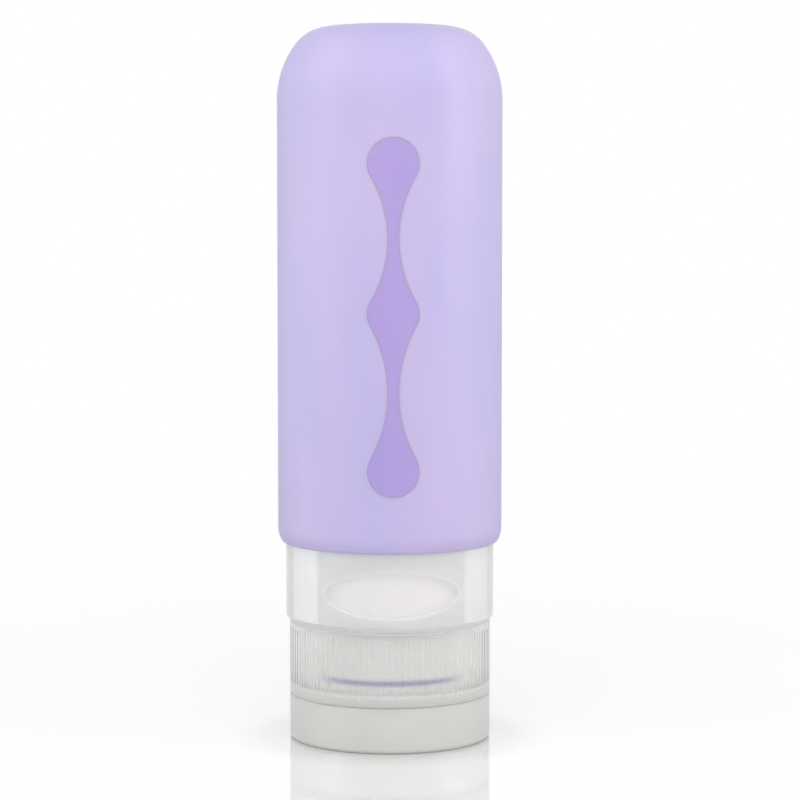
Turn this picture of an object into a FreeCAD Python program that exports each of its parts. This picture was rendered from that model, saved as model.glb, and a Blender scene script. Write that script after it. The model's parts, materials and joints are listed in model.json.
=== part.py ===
"""Travel squeeze bottle: a soft silicone body on a hard neck, with a collar, a screw cap and a flip lid.

Millimetres, +Z up. The closed bottle stands upside down on its lid: the origin is the centre of the
lid's flat underside, the window and the drop inlay face -Y, and the lid's hinge is at +Y.
"""
import FreeCAD, Part
import math
import os

import Sketcher

# Driving dimensions, stacked outward from the spout and upward from the lid.
SIZES = {
    # flip lid
    "lid_height": 8.8,
    "lid_floor": 1.6,
    "lid_wall": 1.5,
    "lid_edge_radius": 0.9,
    "lid_gap": 0.1,
    "split_bevel": 0.1,
    "plug_clearance": 0.3,
    "plug_reach": 1.2,
    "plug_bevel": 0.5,
    # hinge of the lid
    "hinge_offset": 0.2,
    "knuckle_diameter": 2.6,
    "knuckle_length": 9.0,
    "ear_length": 2.6,
    "hinge_gap": 0.25,
    "hinge_web": 2.0,
    "pin_diameter": 1.4,
    "pin_clearance": 0.05,
    # spout and valve
    "spout_bore": 5.5,
    "spout_wall": 1.4,
    "spout_reach": 2.6,
    "valve_flange_width": 5.25,
    "valve_flange_thickness": 0.9,
    "valve_cup_depth": 2.0,
    "valve_cup_wall": 0.6,
    "valve_cup_floor": 0.5,
    "valve_clearance": 0.3,
    "slit_length": 2.8,
    "slit_width": 0.12,
    "retainer_thickness": 0.9,
    "retainer_width": 3.6,
    "retainer_fit": 0.1,
    "valve_wall": 1.0,
    # gasket
    "gasket_fit": 0.3,
    "gasket_width": 4.6,
    "gasket_thickness": 1.0,
    # screw cap
    "deck_recess": 1.9,
    "deck_thickness": 1.6,
    "deck_ledge": 2.3,
    "rim_plate": 2.0,
    "sleeve_wall": 1.5,
    "sleeve_inset": 1.25,
    "cap_void": 2.45,
    "cap_wall": 1.5,
    "cap_edge_radius": 0.2,
    "rib_count": 110,
    "rib_depth": 0.12,
    "rib_groove_width": 0.6,
    "rib_low_margin": 1.4,
    "rib_high_margin": 1.1,
    # thread
    "thread_pitch": 3.0,
    "thread_turns": 1.5,
    "thread_depth": 1.1,
    "thread_base_width": 1.5,
    "thread_crest_width": 0.8,
    "thread_root": 0.2,
    "thread_clearance": 0.3,
    "thread_lead": 1.6,
    "thread_runout": 0.15,
    # neck
    "neck_wall": 1.6,
    "neck_fit": 0.1,
    "bead_height": 0.5,
    "bead_width": 0.4,
    "flange_thickness": 1.6,
    "flange_gap": 2.0,
    # collar, label ring and retaining ring
    "collar_gap": 0.15,
    "collar_overhang": 0.7,
    "collar_wall": 1.4,
    "collar_plate": 2.4,
    "collar_bevel": 0.8,
    "collar_bevel_height": 1.1,
    "retainer_ring_height": 1.4,
    "rabbet_depth": 0.3,
    "label_height": 11.1,
    "label_wall": 1.2,
    "label_clearance": 0.25,
    "label_play": 0.2,
    "window_width": 25.6,
    "window_height": 8.8,
    # silicone body
    "body_overhang": 1.55,
    "body_height": 100.9,
    "body_wall": 2.8,
    "lip_thickness": 2.0,
    "hem_height": 3.0,
    "hem_flank_radius": 5.0,
    "hem_radius": 1.0,
    "shoulder_drop": 3.5,
    "flank_radius": 18.0,
    "shoulder_radius": 8.0,
    "crown_radius": 200.0,
    # drop inlay
    "drop_radius": 4.95,
    "drop_waist": 2.2,
    "drop_low_height": 15.8,
    "drop_low_step": 29.7,
    "drop_high_step": 28.2,
    "inlay_step": 0.2,
    "inlay_thickness": 0.6,
}

doc = FreeCAD.newDocument("squeeze_bottle")
sheet = doc.addObject("Spreadsheet::Sheet", "sizes")
for row, (alias, number) in enumerate(SIZES.items(), start=1):
    sheet.set(f"A{row}", alias)
    sheet.set(f"B{row}", str(number))
    sheet.setAlias(f"B{row}", alias)
doc.recompute()


class Size:
    """A length that knows its value and the sheet formula behind it."""

    def __init__(self, value, formula):
        self.value = value
        self.formula = formula

    def joined(self, sign, other, value):
        formula = other.formula if isinstance(other, Size) else str(other)
        return Size(value, f"({self.formula} {sign} {formula})")

    def __add__(self, other):
        return self.joined("+", other, self.value + plain(other))

    def __sub__(self, other):
        return self.joined("-", other, self.value - plain(other))

    def __mul__(self, other):
        return self.joined("*", other, self.value * plain(other))

    def __truediv__(self, other):
        return self.joined("/", other, self.value / plain(other))

    def __neg__(self):
        return Size(-self.value, f"(-{self.formula})")


def plain(length):
    """The number behind a length."""
    return length.value if isinstance(length, Size) else length


def size(alias):
    """The named driving dimension."""
    return Size(SIZES[alias], f"sizes.{alias}")


# Levels above the table, from the lid upward.
lid_rim = size("lid_height")
hinge_level = lid_rim + size("lid_gap") / 2
deck_face = lid_rim + size("lid_gap")
deck_hollow = deck_face + size("deck_recess")
gasket_seat = deck_hollow + size("deck_thickness")
neck_rim = gasket_seat + size("gasket_thickness")
neck_thread_start = neck_rim + size("thread_lead")
cap_thread_start = neck_thread_start + size("thread_pitch") / 2
cap_thread_end = cap_thread_start + size("thread_pitch") * size("thread_turns")
sleeve_end = cap_thread_end + size("thread_base_width") / 2 + size("thread_runout")
cap_rim = sleeve_end + size("sleeve_inset")
collar_bottom = cap_rim + size("collar_gap")
ring_top = collar_bottom + size("retainer_ring_height")
label_bottom = ring_top + size("label_play")
label_top = label_bottom + size("label_height")
plate_bottom = label_top + size("label_play")
collar_top = plate_bottom + size("collar_plate")
lip_top = collar_top + size("lip_thickness")
flange_top = lip_top + size("flange_thickness")
body_top = collar_top + size("body_height")
spout_end = deck_face - size("spout_reach")
plug_top = spout_end + size("plug_reach")

# Radii, from the spout outward.
spout_bore = size("spout_bore") / 2
spout_outside = spout_bore + size("spout_wall")
plug_radius = spout_bore - size("plug_clearance")
valve_radius = spout_bore + size("valve_flange_width")
valve_pocket = valve_radius + size("retainer_fit")
valve_wall_outside = valve_pocket + size("valve_wall")
gasket_bore = valve_wall_outside + size("gasket_fit")
gasket_radius = gasket_bore + size("gasket_width")
sleeve_bore = gasket_radius + size("thread_clearance")
sleeve_outside = sleeve_bore + size("sleeve_wall")
neck_outside = gasket_radius - size("thread_depth")
neck_bore = neck_outside - size("neck_wall")
skirt_bore = sleeve_outside + size("cap_void")
cap_radius = skirt_bore + size("cap_wall")
collar_radius = cap_radius + size("collar_overhang")
collar_bore = collar_radius - size("collar_wall")
neck_hole = neck_outside + size("neck_fit")
label_radius = collar_bore - size("label_clearance")
body_radius = collar_radius + size("body_overhang")
flange_radius = body_radius - size("body_wall") - size("flange_gap")
hinge_reach = cap_radius + size("hinge_offset")


def new_body(name):
    """An empty body with its own label."""
    body = doc.addObject("PartDesign::Body", name)
    body.Label = name
    return body


def new_sketch(body, name, role, offset=None):
    """A sketch on one of the body's own origin planes, lifted off it by offset."""
    sketch = body.newObject("Sketcher::SketchObject", name)
    plane = next(item for item in body.Origin.OriginFeatures if item.Role == role)
    sketch.AttachmentSupport = [(plane, "")]
    sketch.MapMode = "FlatFace"
    if offset is not None:
        sketch.setExpression("AttachmentOffset.Base.z", offset.formula)
    return sketch


def point(place):
    """The vector of a pair of lengths in a sketch."""
    return FreeCAD.Vector(plain(place[0]), plain(place[1]), 0)


def bind(sketch, constraint, length):
    """Add a dimension whose value follows the sheet."""
    index = sketch.addConstraint(constraint)
    sketch.setExpression(f"Constraints[{index}]", length.formula)


def pin(sketch, geometry, end, place):
    """Hold one point of a sketch at a pair of lengths; a plain 0 puts it on the axis."""
    for kind, axis, length in zip(("DistanceX", "DistanceY"), (-2, -1), place):
        if isinstance(length, Size):
            bind(sketch, Sketcher.Constraint(kind, -1, 1, geometry, end, length.value), length)
        else:
            sketch.addConstraint(Sketcher.Constraint("PointOnObject", geometry, end, axis))


def outline(sketch, corners):
    """Draw a closed run of straight edges through the corners."""
    first = sketch.GeometryCount
    count = len(corners)
    for index, corner in enumerate(corners):
        following = corners[(index + 1) % count]
        sketch.addGeometry(Part.LineSegment(point(corner), point(following)))
    for index, corner in enumerate(corners):
        before = first + (index - 1) % count
        sketch.addConstraint(Sketcher.Constraint("Coincident", before, 2, first + index, 1))
        pin(sketch, first + index, 1, corner)


def circle(sketch, place, radius):
    """Draw a circle at a pair of lengths."""
    ring = Part.Circle(point(place), FreeCAD.Vector(0, 0, 1), radius.value)
    geometry = sketch.addGeometry(ring)
    pin(sketch, geometry, 3, place)
    bind(sketch, Sketcher.Constraint("Radius", geometry, radius.value), radius)


def arc(centre, radius, start, end):
    """A counterclockwise arc about a vector."""
    return Part.ArcOfCircle(Part.Circle(centre, FreeCAD.Vector(0, 0, 1), radius), start, end)


def tangent(sketch, geometry, end, other, other_end):
    """Join two ends smoothly."""
    sketch.addConstraint(Sketcher.Constraint("Tangent", geometry, end, other, other_end))


def revolve(body, name, sketch):
    """Turn a sketch about the bottle's axis."""
    feature = body.newObject("PartDesign::Revolution", name)
    feature.Profile = sketch
    feature.ReferenceAxis = (sketch, ["V_Axis"])
    feature.Angle = 360
    doc.recompute()
    return feature


def turned(body, name, corners):
    """A turned solid from the corners of its half section, as radius and level."""
    sketch = new_sketch(body, f"{name}_section", "XZ_Plane")
    outline(sketch, corners)
    return revolve(body, name, sketch)


def pad(body, name, sketch, length):
    """Add a sketch's area, half of the length to each side of its plane."""
    feature = body.newObject("PartDesign::Pad", name)
    feature.Profile = sketch
    feature.SideType = "Symmetric"
    feature.setExpression("Length", length.formula)
    doc.recompute()
    return feature


def pocket(body, name, sketch, length, symmetric=True, reverse=False):
    """Cut a sketch's area out of a body, and make sure that the cut took something."""
    before = body.Shape.Volume
    feature = body.newObject("PartDesign::Pocket", name)
    feature.Profile = sketch
    feature.SideType = "Symmetric" if symmetric else "One side"
    feature.Reversed = reverse
    feature.setExpression("Length", length.formula)
    doc.recompute()
    if not body.Shape.Volume < before:
        raise RuntimeError(f"{name} cut nothing")
    return feature


def polar(body, name, original, sketch, count, sweep=360):
    """Repeat a feature evenly about the axis through its sketch's origin."""
    feature = body.newObject("PartDesign::PolarPattern", name)
    feature.Originals = [original]
    feature.Axis = (sketch, ["N_Axis"])
    feature.Angle = sweep
    feature.setExpression("Occurrences", count.formula)
    body.Tip = feature
    doc.recompute()
    return feature


def rounded(body, name, feature, radius, rings):
    """Round the circular edges at the given pairs of radius and level."""
    wanted = [(ring.value, level.value) for ring, level in rings]
    edges = []
    for index, edge in enumerate(feature.Shape.Edges, start=1):
        if not isinstance(edge.Curve, Part.Circle):
            continue
        place = (edge.Curve.Radius, edge.Curve.Center.z)
        if any(math.dist(place, ring) < 1e-6 for ring in wanted):
            edges.append(f"Edge{index}")
    fillet = body.newObject("PartDesign::Fillet", name)
    fillet.Base = (feature, edges)
    fillet.setExpression("Radius", radius.formula)
    doc.recompute()
    return fillet


def thread(body, name, root, crest, start):
    """Wind a right-hand ridge from root to crest radius, starting at a level."""
    base = size("thread_base_width") / 2
    tip = size("thread_crest_width") / 2
    sketch = new_sketch(body, f"{name}_section", "XZ_Plane")
    outline(sketch, [(root, start - base), (crest, start - tip), (crest, start + tip), (root, start + base)])
    feature = body.newObject("PartDesign::AdditiveHelix", name)
    feature.Profile = sketch
    feature.ReferenceAxis = (sketch, ["V_Axis"])
    feature.Mode = "pitch-turns-angle"
    feature.setExpression("Pitch", size("thread_pitch").formula)
    feature.setExpression("Turns", size("thread_turns").formula)
    doc.recompute()
    return feature


def make_flip_lid():
    """Shallow cup with the plug for the spout, the hinge knuckle and its two pins."""
    body = new_body("flip_lid")
    bevel = size("split_bevel")
    wall_bore = cap_radius - size("lid_wall")
    cup = turned(body, "lid_cup", [
        (0, 0),
        (cap_radius, 0),
        (cap_radius, lid_rim - bevel),
        (cap_radius - bevel, lid_rim),
        (wall_bore, lid_rim),
        (wall_bore, size("lid_floor")),
        (plug_radius, size("lid_floor")),
        (plug_radius, plug_top - size("plug_bevel")),
        (plug_radius - size("plug_bevel"), plug_top),
        (0, plug_top),
    ])
    table_edge = Size(0.0, "0")
    rounded(body, "lid_edge", cup, size("lid_edge_radius"), [(cap_radius, table_edge)])

    hinge = (hinge_reach, hinge_level)
    knuckle_radius = size("knuckle_diameter") / 2
    ears_span = size("knuckle_length") + (size("ear_length") + size("hinge_gap") * 2) * 2
    ear_room = new_sketch(body, "ear_room_section", "YZ_Plane")
    circle(ear_room, hinge, knuckle_radius + size("hinge_gap"))
    pocket(body, "ear_room", ear_room, ears_span)

    web = new_sketch(body, "knuckle_web_section", "YZ_Plane")
    outline(web, [
        (wall_bore, lid_rim - size("hinge_web")),
        (hinge_reach, lid_rim - size("hinge_web")),
        (hinge_reach, lid_rim),
        (wall_bore, lid_rim),
    ])
    pad(body, "knuckle_web", web, size("knuckle_length"))
    knuckle = new_sketch(body, "knuckle_section", "YZ_Plane")
    circle(knuckle, hinge, knuckle_radius)
    pad(body, "knuckle", knuckle, size("knuckle_length"))
    pins = new_sketch(body, "pins_section", "YZ_Plane")
    circle(pins, hinge, size("pin_diameter") / 2)
    pad(body, "pins", pins, size("knuckle_length") + (size("ear_length") + size("hinge_gap")) * 2)
    return body


def make_cap_base():
    """Ribbed screw cap: skirt, threaded sleeve, recessed deck with the spout, and the hinge ears."""
    body = new_body("cap_base")
    bevel = size("split_bevel")
    hollow_radius = sleeve_bore - size("deck_ledge")
    plate_top = deck_face + size("rim_plate")
    wall_top = gasket_seat + size("valve_flange_thickness") + size("retainer_thickness")
    shell = turned(body, "cap_shell", [
        (spout_bore, spout_end),
        (spout_outside, spout_end),
        (spout_outside, deck_hollow),
        (hollow_radius, deck_hollow),
        (hollow_radius, deck_face),
        (cap_radius - bevel, deck_face),
        (cap_radius, deck_face + bevel),
        (cap_radius, cap_rim),
        (skirt_bore, cap_rim),
        (skirt_bore, plate_top),
        (sleeve_outside, plate_top),
        (sleeve_outside, sleeve_end),
        (sleeve_bore, sleeve_end),
        (sleeve_bore, gasket_seat),
        (valve_wall_outside, gasket_seat),
        (valve_wall_outside, wall_top),
        (valve_pocket, wall_top),
        (valve_pocket, gasket_seat),
        (spout_bore, gasket_seat),
    ])
    rounded(body, "cap_edge", shell, size("cap_edge_radius"), [(cap_radius, cap_rim)])

    hinge = (hinge_reach, hinge_level)
    knuckle_radius = size("knuckle_diameter") / 2
    knuckle_room = size("knuckle_length") + size("hinge_gap") * 2
    ears_length = knuckle_room + size("ear_length") * 2
    web = new_sketch(body, "ear_web_section", "YZ_Plane")
    outline(web, [
        (skirt_bore, deck_face),
        (hinge_reach, deck_face),
        (hinge_reach, deck_face + size("hinge_web")),
        (skirt_bore, deck_face + size("hinge_web")),
    ])
    pad(body, "ear_web", web, ears_length)
    ears = new_sketch(body, "ears_section", "YZ_Plane")
    circle(ears, hinge, knuckle_radius)
    pad(body, "ears", ears, ears_length)
    room = new_sketch(body, "knuckle_room_section", "YZ_Plane")
    circle(room, hinge, knuckle_radius + size("hinge_gap"))
    pocket(body, "knuckle_room", room, knuckle_room)
    bores = new_sketch(body, "pin_bores_section", "YZ_Plane")
    circle(bores, hinge, size("pin_diameter") / 2 + size("pin_clearance"))
    pocket(body, "pin_bores", bores, ears_length)

    thread(body, "cap_thread", sleeve_bore + size("thread_root"),
           sleeve_bore - size("thread_depth"), cap_thread_start)

    rib_bottom = deck_face + size("rib_low_margin")
    rib_length = cap_rim - size("rib_high_margin") - rib_bottom
    groove_mouth = cap_radius + size("rib_depth")
    groove_width = size("rib_groove_width")
    groove = new_sketch(body, "rib_groove_section", "XY_Plane", rib_bottom)
    outline(groove, [
        (cap_radius - size("rib_depth"), 0),
        (groove_mouth, -groove_width),
        (groove_mouth, groove_width),
    ])
    cut = pocket(body, "rib_groove", groove, rib_length, symmetric=False, reverse=True)
    polar(body, "ribs", cut, groove, size("rib_count"))
    return body


def make_drip_valve():
    """Soft valve: a flange on the deck and a small cup in the spout, slit crosswise in its floor."""
    body = new_body("drip_valve")
    cup_radius = spout_bore - size("valve_clearance")
    cup_bore = cup_radius - size("valve_cup_wall")
    cup_bottom = gasket_seat - size("valve_cup_depth")
    cup_floor = cup_bottom + size("valve_cup_floor")
    flange_face = gasket_seat + size("valve_flange_thickness")
    turned(body, "valve_skin", [
        (0, cup_bottom),
        (cup_radius, cup_bottom),
        (cup_radius, gasket_seat),
        (valve_radius, gasket_seat),
        (valve_radius, flange_face),
        (cup_bore, flange_face),
        (cup_bore, cup_floor),
        (0, cup_floor),
    ])
    slit = new_sketch(body, "slit_section", "XY_Plane", cup_bottom)
    half_length = size("slit_length") / 2
    half_width = size("slit_width") / 2
    outline(slit, [
        (-half_length, -half_width),
        (half_length, -half_width),
        (half_length, half_width),
        (-half_length, half_width),
    ])
    cut = pocket(body, "slit", slit, size("valve_cup_floor") * 2)
    polar(body, "cross_slit", cut, slit, Size(2, "2"), sweep=90)
    return body


def make_valve_retainer():
    """Snap ring that holds the valve's flange in its pocket."""
    body = new_body("valve_retainer")
    bottom = gasket_seat + size("valve_flange_thickness")
    top = bottom + size("retainer_thickness")
    bore = valve_radius - size("retainer_width")
    turned(body, "retainer", [(bore, bottom), (valve_radius, bottom), (valve_radius, top), (bore, top)])
    return body


def make_gasket():
    """Flat sealing ring between the cap's deck and the neck's rim."""
    body = new_body("gasket")
    turned(body, "seal", [
        (gasket_bore, gasket_seat),
        (gasket_radius, gasket_seat),
        (gasket_radius, neck_rim),
        (gasket_bore, neck_rim),
    ])
    return body


def make_neck():
    """Threaded tube with the snap bead under the retaining ring and the flange over the silicone lip."""
    body = new_body("neck")
    bead_radius = neck_outside + size("bead_width")
    turned(body, "tube", [
        (neck_bore, neck_rim),
        (neck_outside, neck_rim),
        (neck_outside, collar_bottom - size("bead_height")),
        (bead_radius, collar_bottom),
        (neck_outside, collar_bottom),
        (neck_outside, lip_top),
        (flange_radius, lip_top),
        (flange_radius, flange_top),
        (neck_bore, flange_top),
    ])
    thread(body, "neck_thread", neck_outside - size("thread_root"), gasket_radius, neck_thread_start)
    return body


def make_retaining_ring():
    """Ring snapped on the neck: it closes the collar and carries the label ring."""
    body = new_body("retaining_ring")
    edge = collar_bore + size("rabbet_depth") - size("neck_fit")
    turned(body, "closing_ring", [
        (neck_hole, collar_bottom),
        (edge, collar_bottom),
        (edge, ring_top),
        (neck_hole, ring_top),
    ])
    return body


def make_label_ring():
    """Plain ring for the contents' name, which turns behind the window."""
    body = new_body("label_ring")
    bore = label_radius - size("label_wall")
    turned(body, "label", [
        (bore, label_bottom),
        (label_radius, label_bottom),
        (label_radius, label_top),
        (bore, label_top),
    ])
    return body


def make_collar():
    """Outer ring under the body, with a top plate, a rabbet for the retaining ring and the oval window."""
    body = new_body("collar")
    rabbet = collar_bore + size("rabbet_depth")
    turned(body, "collar_shell", [
        (rabbet, collar_bottom),
        (collar_radius - size("collar_bevel"), collar_bottom),
        (collar_radius, collar_bottom + size("collar_bevel_height")),
        (collar_radius, collar_top),
        (neck_hole, collar_top),
        (neck_hole, plate_bottom),
        (collar_bore, plate_bottom),
        (collar_bore, ring_top),
        (rabbet, ring_top),
    ])
    middle = (label_bottom + label_top) / 2
    window = new_sketch(body, "window_section", "XZ_Plane")
    oval = Part.Ellipse(point((0, middle)), SIZES["window_width"] / 2, SIZES["window_height"] / 2)
    geometry = window.addGeometry(oval)
    window.exposeInternalGeometry(geometry)
    major_line, minor_line = geometry + 1, geometry + 2
    pin(window, geometry, 3, (0, middle))
    window.addConstraint(Sketcher.Constraint("Horizontal", major_line))
    bind(window, Sketcher.Constraint("Distance", major_line, SIZES["window_width"]), size("window_width"))
    bind(window, Sketcher.Constraint("Distance", minor_line, SIZES["window_height"]), size("window_height"))
    pocket(body, "window", window, collar_radius, symmetric=False, reverse=True)
    return body


def make_squeeze_shell():
    """Hollow body: lip, hem of two arcs, straight side, and a crown of three smooth arcs, all of one wall."""
    body = new_body("squeeze_shell")
    sketch = new_sketch(body, "shell_section", "XZ_Plane")
    wall = size("body_wall")
    hem = size("hem_radius")
    hem_flank = size("hem_flank_radius")
    side_start = collar_top + size("hem_height")
    flank = size("flank_radius")
    shoulder = size("shoulder_radius")
    crown = size("crown_radius")
    shoulder_level = body_top - size("shoulder_drop")

    # The arcs start close to their places, and the constraints below settle them.
    quarter = math.pi / 2
    hem_turn = math.asin(plain((size("hem_height") - hem) / (hem_flank - hem)))
    hem_flank_centre = point((body_radius - hem_flank, side_start))
    hem_outward = FreeCAD.Vector(math.cos(hem_turn), -math.sin(hem_turn), 0)
    hem_centre = hem_flank_centre + hem_outward * plain(hem_flank - hem)
    flank_end = math.asin(1 - plain(size("shoulder_drop") / shoulder))
    outward = FreeCAD.Vector(math.cos(flank_end), math.sin(flank_end), 0)
    flank_point = point((body_radius - flank + flank * outward.x, shoulder_level))
    flank_centre = flank_point - outward * flank.value
    shoulder_centre = flank_point - outward * shoulder.value
    crown_centre = point((0, body_top - crown))
    crown_to_shoulder = shoulder_centre - crown_centre
    shoulder_end = math.atan2(crown_to_shoulder.y, crown_to_shoulder.x)

    inner_radius = body_radius - wall
    mouth_edge = (neck_hole, collar_top)
    inner = [(inner_radius, lip_top), (neck_hole, lip_top)]
    lip_edge = sketch.addGeometry(Part.LineSegment(point(mouth_edge), point((hem_centre.x, collar_top))))
    hem_arc = sketch.addGeometry(arc(hem_centre, hem.value, -quarter, -hem_turn))
    hem_flank_arc = sketch.addGeometry(arc(hem_flank_centre, hem_flank.value, -hem_turn, 0))
    side_ends = point((body_radius, side_start)), point((body_radius, flank_centre.y))
    side = sketch.addGeometry(Part.LineSegment(*side_ends))
    crown_arcs = []
    for inset in (0, wall):
        crown_arcs.append([
            sketch.addGeometry(arc(flank_centre, plain(flank - inset), 0, flank_end)),
            sketch.addGeometry(arc(shoulder_centre, plain(shoulder - inset), flank_end, shoulder_end)),
            sketch.addGeometry(arc(crown_centre, plain(crown - inset), shoulder_end, quarter)),
        ])
    outside, inside = crown_arcs
    axis = sketch.addGeometry(Part.LineSegment(point((0, body_top)), point((0, body_top - wall))))
    inner_start = point((inner_radius, flank_centre.y))
    inner_side = sketch.addGeometry(Part.LineSegment(inner_start, point(inner[0])))
    lip_face = sketch.addGeometry(Part.LineSegment(point(inner[0]), point(inner[1])))
    mouth = sketch.addGeometry(Part.LineSegment(point(inner[1]), point(mouth_edge)))

    pin(sketch, lip_edge, 1, mouth_edge)
    sketch.addConstraint(Sketcher.Constraint("Horizontal", lip_edge))
    tangent(sketch, lip_edge, 2, hem_arc, 1)
    tangent(sketch, hem_arc, 2, hem_flank_arc, 1)
    tangent(sketch, hem_flank_arc, 2, side, 1)
    bind(sketch, Sketcher.Constraint("Radius", hem_arc, hem.value), hem)
    bind(sketch, Sketcher.Constraint("Radius", hem_flank_arc, hem_flank.value), hem_flank)
    bind(sketch, Sketcher.Constraint("DistanceY", -1, 1, side, 1, side_start.value), side_start)
    sketch.addConstraint(Sketcher.Constraint("Vertical", side))
    bind(sketch, Sketcher.Constraint("DistanceX", -1, 1, side, 2, body_radius.value), body_radius)
    tangent(sketch, side, 2, outside[0], 1)
    shoulder_start = Sketcher.Constraint("DistanceY", -1, 1, outside[0], 2, shoulder_level.value)
    bind(sketch, shoulder_start, shoulder_level)
    for arcs in crown_arcs:
        tangent(sketch, arcs[0], 2, arcs[1], 1)
        tangent(sketch, arcs[1], 2, arcs[2], 1)
    for outer_arc, inner_arc, radius in zip(outside, inside, (flank, shoulder, crown)):
        bind(sketch, Sketcher.Constraint("Radius", outer_arc, radius.value), radius)
        sketch.addConstraint(Sketcher.Constraint("Coincident", outer_arc, 3, inner_arc, 3))
    sketch.addConstraint(Sketcher.Constraint("PointOnObject", outside[2], 3, -2))
    pin(sketch, outside[2], 2, (0, body_top))
    sketch.addConstraint(Sketcher.Constraint("Coincident", outside[2], 2, axis, 1))
    sketch.addConstraint(Sketcher.Constraint("Coincident", axis, 2, inside[2], 2))
    sketch.addConstraint(Sketcher.Constraint("PointOnObject", axis, 2, -2))
    tangent(sketch, inside[0], 1, inner_side, 1)
    sketch.addConstraint(Sketcher.Constraint("Vertical", inner_side))
    sketch.addConstraint(Sketcher.Constraint("Coincident", inner_side, 2, lip_face, 1))
    pin(sketch, inner_side, 2, inner[0])
    sketch.addConstraint(Sketcher.Constraint("Coincident", lip_face, 2, mouth, 1))
    pin(sketch, lip_face, 2, inner[1])
    sketch.addConstraint(Sketcher.Constraint("Coincident", mouth, 2, lip_edge, 1))
    revolve(body, "shell", sketch)
    return body


def waist_radius(step):
    """Radius of the hollow arc that joins two drops a step apart and leaves the waist between them."""
    drop = size("drop_radius")
    waist = size("drop_waist") / 2
    return (step * step / 4 + waist * waist - drop * drop) / ((drop - waist) * 2)


def make_drop_outline():
    """Three round drops in a column, joined by hollow arcs, drawn upright."""
    sketch = doc.addObject("Sketcher::SketchObject", "drop_outline")
    drop = size("drop_radius")
    steps = (size("drop_low_step"), size("drop_high_step"))
    low = collar_top + size("drop_low_height")
    levels = (low, low + steps[0], low + steps[0] + steps[1])
    hollows = [waist_radius(step) for step in steps]
    turns = []
    centres = []
    for step, hollow, level in zip(steps, hollows, levels):
        reach = plain(size("drop_waist") / 2 + hollow)
        turns.append(math.atan2(step.value / 2, reach))
        centres.append((reach, plain(level + step / 2)))
    low_turn, high_turn = turns
    half = math.pi

    def drop_arc(level, start, end):
        geometry = sketch.addGeometry(arc(point((0, level)), drop.value, start, end))
        pin(sketch, geometry, 3, (0, level))
        bind(sketch, Sketcher.Constraint("Radius", geometry, drop.value), drop)
        return geometry

    def hollow_arc(index, side, start, end):
        reach, level = centres[index]
        radius = hollows[index]
        geometry = sketch.addGeometry(arc(FreeCAD.Vector(side * reach, level, 0), radius.value, start, end))
        bind(sketch, Sketcher.Constraint("Radius", geometry, radius.value), radius)
        return geometry

    bottom = drop_arc(levels[0], half - low_turn, 2 * half + low_turn)
    right_low = hollow_arc(0, 1, half - low_turn, half + low_turn)
    right = drop_arc(levels[1], -low_turn, high_turn)
    right_high = hollow_arc(1, 1, half - high_turn, half + high_turn)
    top = drop_arc(levels[2], -high_turn, half + high_turn)
    left_high = hollow_arc(1, -1, -high_turn, high_turn)
    left = drop_arc(levels[1], half - high_turn, half + low_turn)
    left_low = hollow_arc(0, -1, -low_turn, low_turn)
    tangent(sketch, bottom, 2, right_low, 2)
    tangent(sketch, right_low, 1, right, 1)
    tangent(sketch, right, 2, right_high, 2)
    tangent(sketch, right_high, 1, top, 1)
    tangent(sketch, top, 2, left_high, 2)
    tangent(sketch, left_high, 1, left, 1)
    tangent(sketch, left, 2, left_low, 2)
    tangent(sketch, left_low, 1, bottom, 1)
    sketch.Placement = FreeCAD.Placement(FreeCAD.Vector(), FreeCAD.Rotation(FreeCAD.Vector(1, 0, 0), 90))
    return sketch


def cylinder(name, radius):
    """An upright cylinder over the whole height of the body."""
    solid = doc.addObject("Part::Cylinder", name)
    solid.setExpression("Radius", radius.formula)
    solid.setExpression("Height", size("body_height").formula)
    solid.setExpression("Placement.Base.z", collar_top.formula)
    return solid


def boolean(kind, name, base, tool):
    """A Part boolean of two objects."""
    feature = doc.addObject(kind, name)
    feature.Base = base
    feature.Tool = tool
    feature.Label = name
    return feature


def make_body_and_inlay():
    """The squeeze body with the drop-shaped seat in its front, and the inlay that fills the seat."""
    prism = doc.addObject("Part::Extrusion", "drop_prism")
    prism.Base = make_drop_outline()
    prism.DirMode = "Custom"
    prism.Dir = FreeCAD.Vector(0, -1, 0)
    prism.Solid = True
    prism.setExpression("LengthFwd", (body_radius * 2).formula)

    inlay_face = body_radius - size("inlay_step")
    seat_core = cylinder("seat_core", inlay_face - size("inlay_thickness"))
    inlay_skin = cylinder("inlay_skin", inlay_face)
    inlay_prism = boolean("Part::Cut", "inlay_prism", prism, seat_core)
    inlay = boolean("Part::Common", "drop_grip", inlay_prism, inlay_skin)
    body = boolean("Part::Cut", "silicone_body", make_squeeze_shell(), inlay_prism)
    doc.recompute()
    return body, inlay


squeeze_body, drop_inlay = make_body_and_inlay()
pieces = [
    squeeze_body,
    drop_inlay,
    make_neck(),
    make_collar(),
    make_label_ring(),
    make_retaining_ring(),
    make_gasket(),
    make_cap_base(),
    make_drip_valve(),
    make_valve_retainer(),
    make_flip_lid(),
]
doc.recompute()

for item in doc.Objects:
    if "Invalid" in item.State or "Error" in item.State:
        raise RuntimeError(f"{item.Name} failed: {item.State}")
for piece in pieces:
    if piece.Shape.isNull() or not piece.Shape.isValid() or len(piece.Shape.Solids) != 1:
        raise RuntimeError(f"{piece.Label} is not one valid solid")

os.makedirs("parts", exist_ok=True)
for piece in pieces:
    piece.Shape.exportStep(f"parts/{piece.Label}.step")
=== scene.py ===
"""Looks of the travel squeeze bottle: its soft pieces, finishes, light and camera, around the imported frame.

Metres, +Z up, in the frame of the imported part: the closed bottle stands on its lid and its front faces -Y.
"""
import json
import math

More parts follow.
